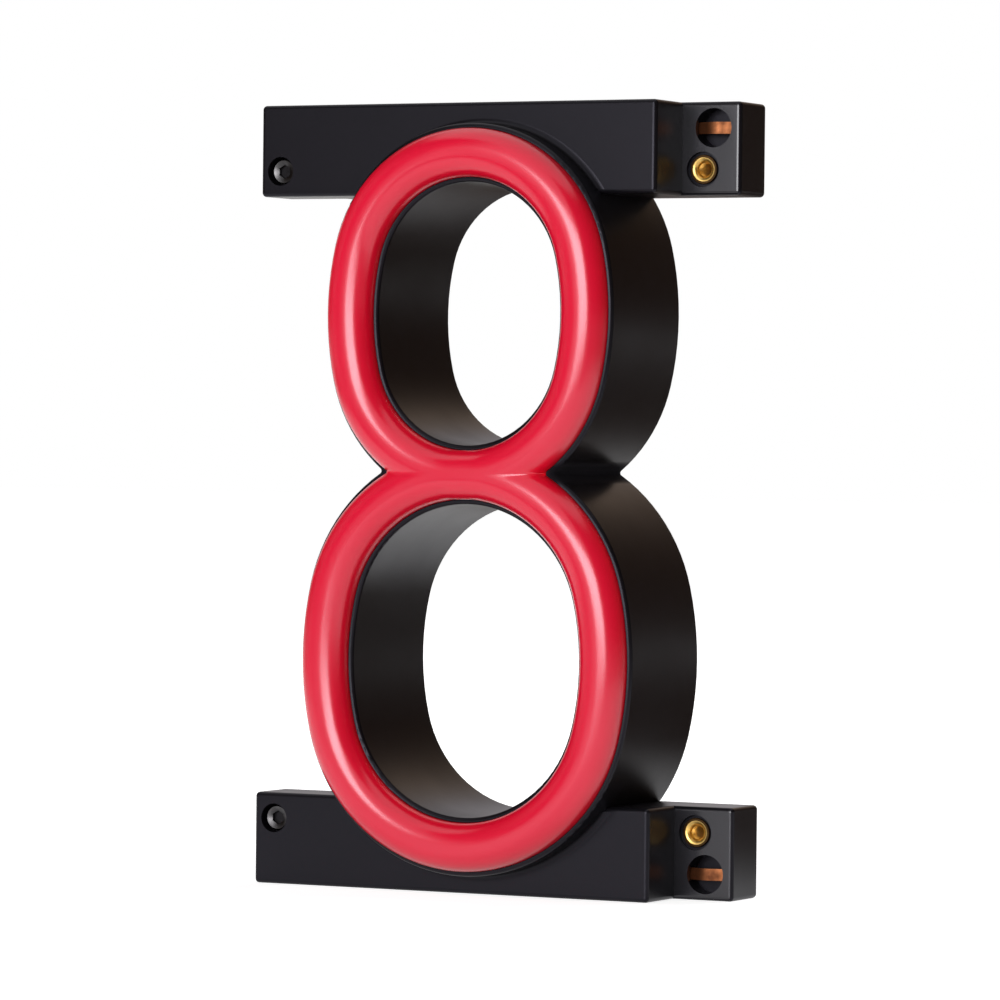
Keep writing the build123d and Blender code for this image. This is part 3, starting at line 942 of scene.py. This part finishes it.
def soft_light(name, place, size, watts):
    """A rectangular soft light that faces the object."""
    lamp = bpy.data.lights.new(name, "AREA")
    lamp.shape = "RECTANGLE"
    lamp.size, lamp.size_y = size
    lamp.energy = watts
    light = bpy.data.objects.new(name, lamp)
    light.location = place
    facing = Vector(aim_place) - Vector(place)
    light.rotation_euler = facing.to_track_quat("-Z", "Y").to_euler()
    light.visible_camera = False
    bpy.context.scene.collection.objects.link(light)
    return light


soft_light("front_light", front_light_place, front_light_size, front_light_watts)
left_light = soft_light("left_light", left_light_place, left_light_size, left_light_watts)
left_light.visible_glossy = False
back_light = soft_light("back_light", back_light_place, back_light_size, back_light_watts)
back_light.visible_glossy = False

world = bpy.data.worlds.new("studio_white")
world.use_nodes = True
backdrop = world.node_tree.nodes["Background"]
backdrop.inputs["Color"].default_value = white
backdrop_shown = spread(world.node_tree, seen_directly(world.node_tree), fill_strength, 1.0)
world.node_tree.links.new(backdrop_shown, backdrop.inputs["Strength"])
world.cycles.sampling_method = "NONE"
bpy.context.scene.world = world

# Camera: a long lens to the right of the front, a little above the figure's middle. Its place, aim
# and roll were fitted to the corners of the rails.
camera_azimuth = math.radians(27.011)
camera_drop = math.radians(0.732)
camera_roll = math.radians(0.631)
camera_distance = 1160.4 * mm
camera_aim = (0.0, 0.0, 81.0 * mm)
aim_right = 0.966 * mm
aim_up = -0.384 * mm
sensor_width = 36.0
focal_length = 203.3
view_depth = 50.0

ahead = Vector((-math.sin(camera_azimuth) * math.cos(camera_drop),
                math.cos(camera_azimuth) * math.cos(camera_drop), -math.sin(camera_drop)))
level_right = ahead.cross(Vector((0, 0, 1))).normalized()
level_up = level_right.cross(ahead)
right = math.cos(camera_roll) * level_right + math.sin(camera_roll) * level_up
up = math.cos(camera_roll) * level_up - math.sin(camera_roll) * level_right
lens = bpy.data.cameras.new("photo_camera")
lens.sensor_width = sensor_width
lens.lens = focal_length
lens.clip_end = view_depth
camera = bpy.data.objects.new("photo_camera", lens)
camera.matrix_world = Matrix.Translation(
    Vector(camera_aim) + aim_right * right + aim_up * up - camera_distance * ahead
) @ Matrix((right, up, -ahead)).transposed().to_4x4()
bpy.context.scene.collection.objects.link(camera)
bpy.context.scene.camera = camera
bpy.context.scene.view_settings.view_transform = "Standard"
